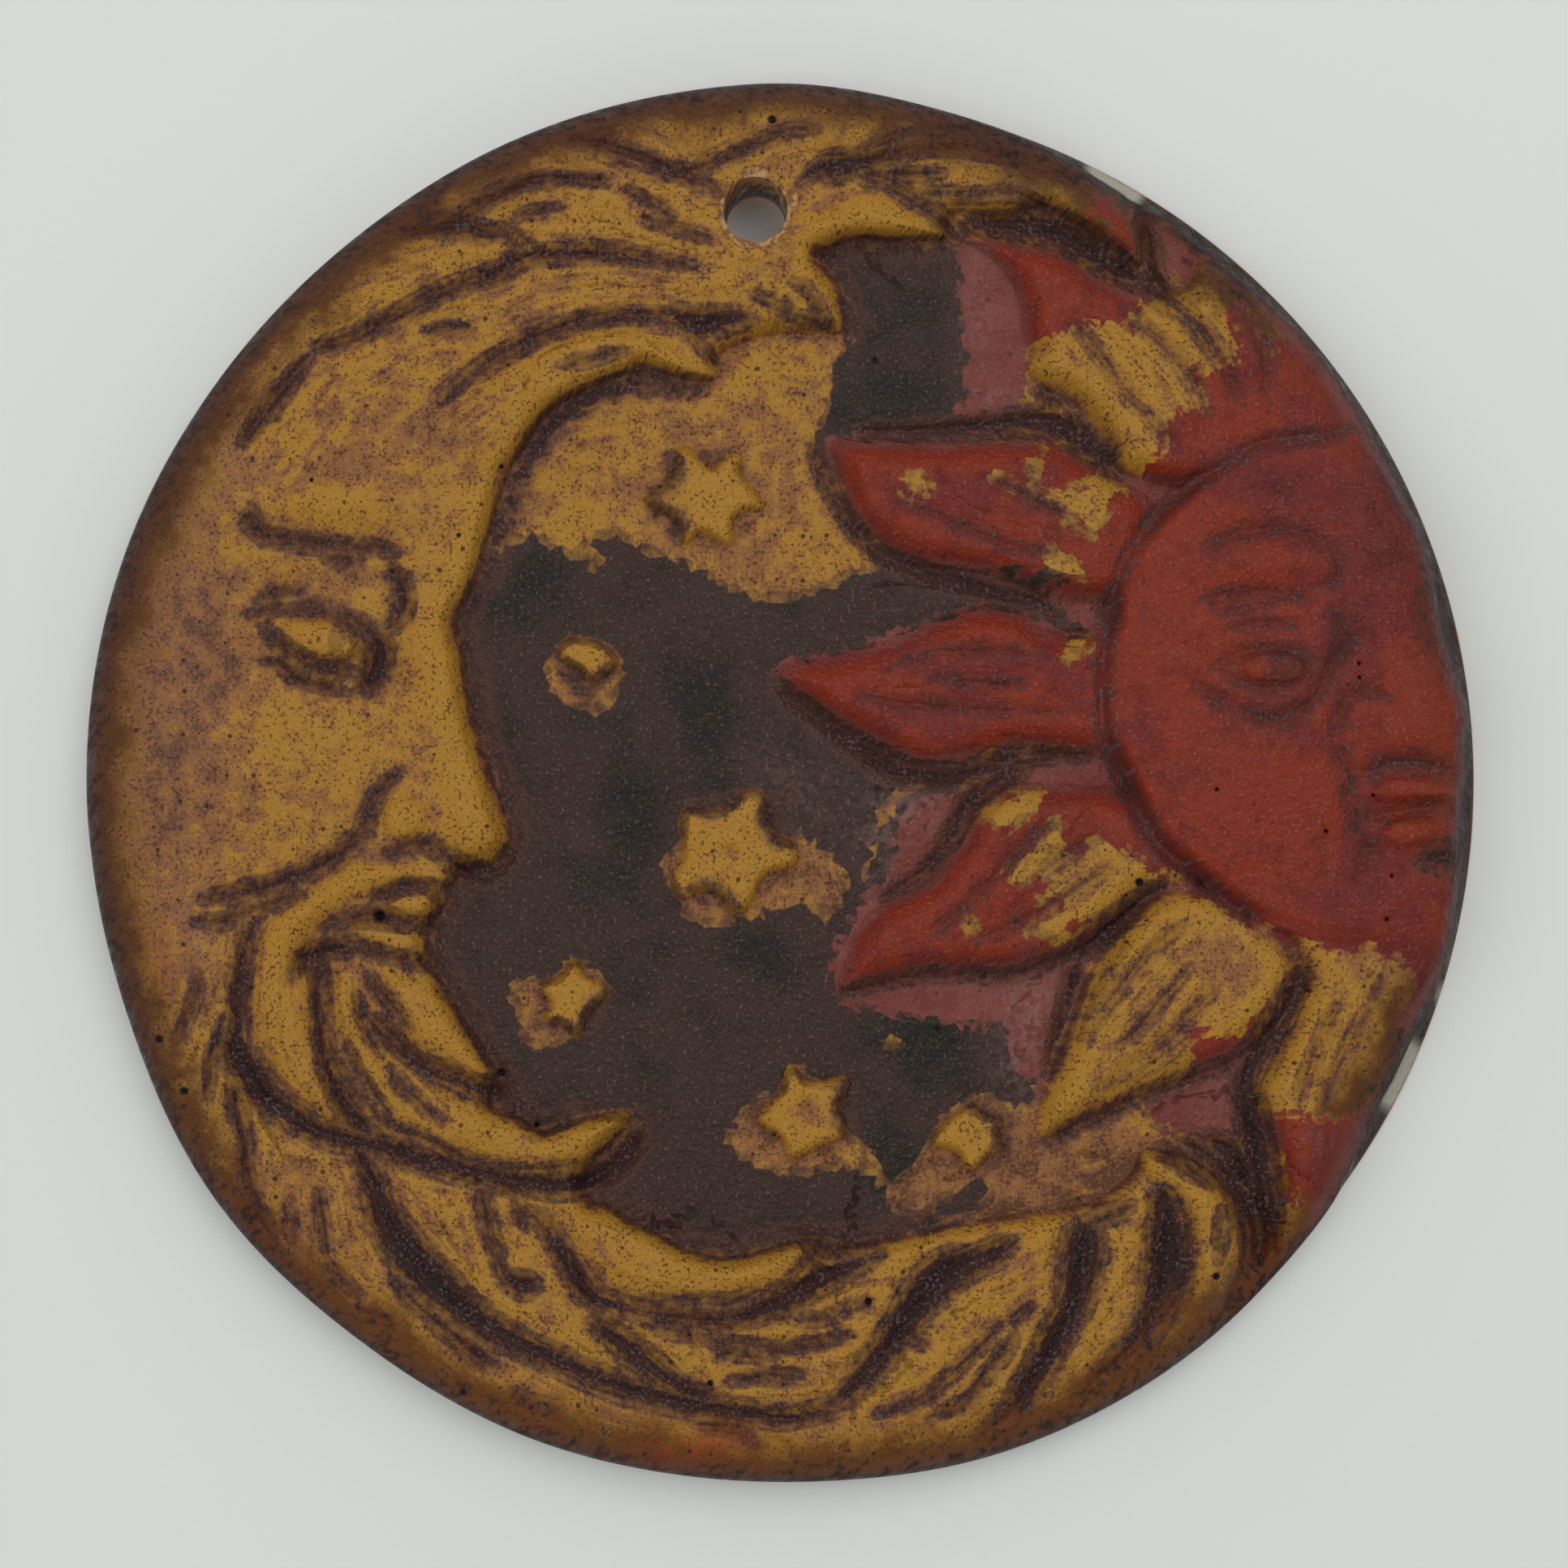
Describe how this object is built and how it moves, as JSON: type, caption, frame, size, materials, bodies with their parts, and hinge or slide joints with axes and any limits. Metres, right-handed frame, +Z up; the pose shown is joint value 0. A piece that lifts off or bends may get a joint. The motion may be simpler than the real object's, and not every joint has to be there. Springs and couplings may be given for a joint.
{
  "type": "wall plate",
  "caption": "Round moulded clay wall plate with a bearded moon in profile, a sun with flame rays and small stars, hung from a nail.",
  "frame": {"origin": "centre of the flat back, where the plate meets the wall", "axes": "+Y out of the back into the wall, +Z up as it hangs, +X to the viewer's right; the carved front faces -Y"},
  "size_m": [0.1594, 0.0131, 0.1599],
  "materials": {
    "wall_plate": "worn waxy paint wash over fired clay"
  },
  "bodies": {
    "root": {"wall_plate": "wall_plate"}
  },
  "joints": []
}
